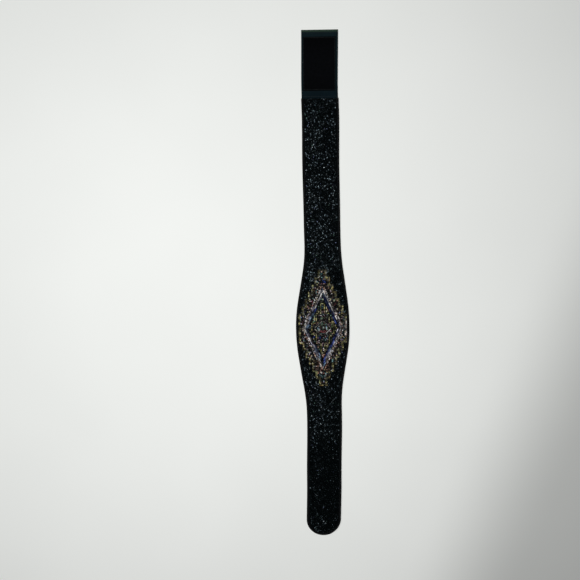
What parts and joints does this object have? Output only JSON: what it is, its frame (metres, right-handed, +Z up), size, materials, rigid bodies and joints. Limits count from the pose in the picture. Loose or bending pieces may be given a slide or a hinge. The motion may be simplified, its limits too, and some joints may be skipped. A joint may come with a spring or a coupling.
{
  "type": "beaded belt",
  "caption": "Flat beaded waist belt that widens at the middle, with a stepped diamond motif, a round end and a hook-and-loop tab.",
  "frame": {"origin": "middle of the belt's bounding box, on the surface that it lies on", "axes": "+Y along the belt towards the tab end, +X across it, +Z up out of the beaded face"},
  "size_m": [0.09, 0.848, 0.0053],
  "materials": {
    "fabric": "dark teal-black ribbed fabric",
    "binding": "black folded edge tape, matt",
    "loop_pile": "black brushed loop pile",
    "hook_tape": "black moulded hook tape",
    "black_beads": "opaque black glass seed beads with a slate-blue glint",
    "gold_beads": "antique gold lustred glass seed beads",
    "iris_beads": "dark iridescent glass seed beads, purple to teal",
    "pearl_beads": "pinkish white iridescent glass beads",
    "cobalt_bugles": "cobalt blue glass bugle beads",
    "lavender_bugles": "lavender and light blue glass bugle beads",
    "olive_beads": "dark olive and teal glass seed beads",
    "plum_beads": "plum and gunmetal glass seed beads",
    "silver_bugles": "thin silver-lined glass bugle beads",
    "core_beads": "teal and dark red glass seed beads"
  },
  "bodies": {
    "root": {"fabric_base": "fabric", "edge_binding": "binding", "loop_patch": "loop_pile", "hook_patch": "hook_tape", "black_beads_tab_side": "black_beads", "black_beads_round_end": "black_beads", "gold_steps_outer": "gold_beads", "iris_bead_field": "iris_beads", "pearl_bead_ring": "pearl_beads", "bugle_row_upper_right_1": "cobalt_bugles", "bugle_row_upper_right_2": "lavender_bugles", "bugle_row_upper_right_3": "cobalt_bugles", "bugle_row_upper_left_1": "cobalt_bugles", "bugle_row_upper_left_2": "lavender_bugles", "bugle_row_upper_left_3": "cobalt_bugles", "bugle_row_lower_left_1": "cobalt_bugles", "bugle_row_lower_left_2": "lavender_bugles", "bugle_row_lower_left_3": "cobalt_bugles", "bugle_row_lower_right_1": "cobalt_bugles", "bugle_row_lower_right_2": "lavender_bugles", "bugle_row_lower_right_3": "cobalt_bugles", "olive_bead_field": "olive_beads", "gold_steps_inner": "gold_beads", "plum_bead_field": "plum_beads", "silver_row_upper_right": "silver_bugles", "silver_row_upper_left": "silver_bugles", "silver_row_lower_left": "silver_bugles", "silver_row_lower_right": "silver_bugles", "core_bead_field": "core_beads"}
  },
  "joints": []
}
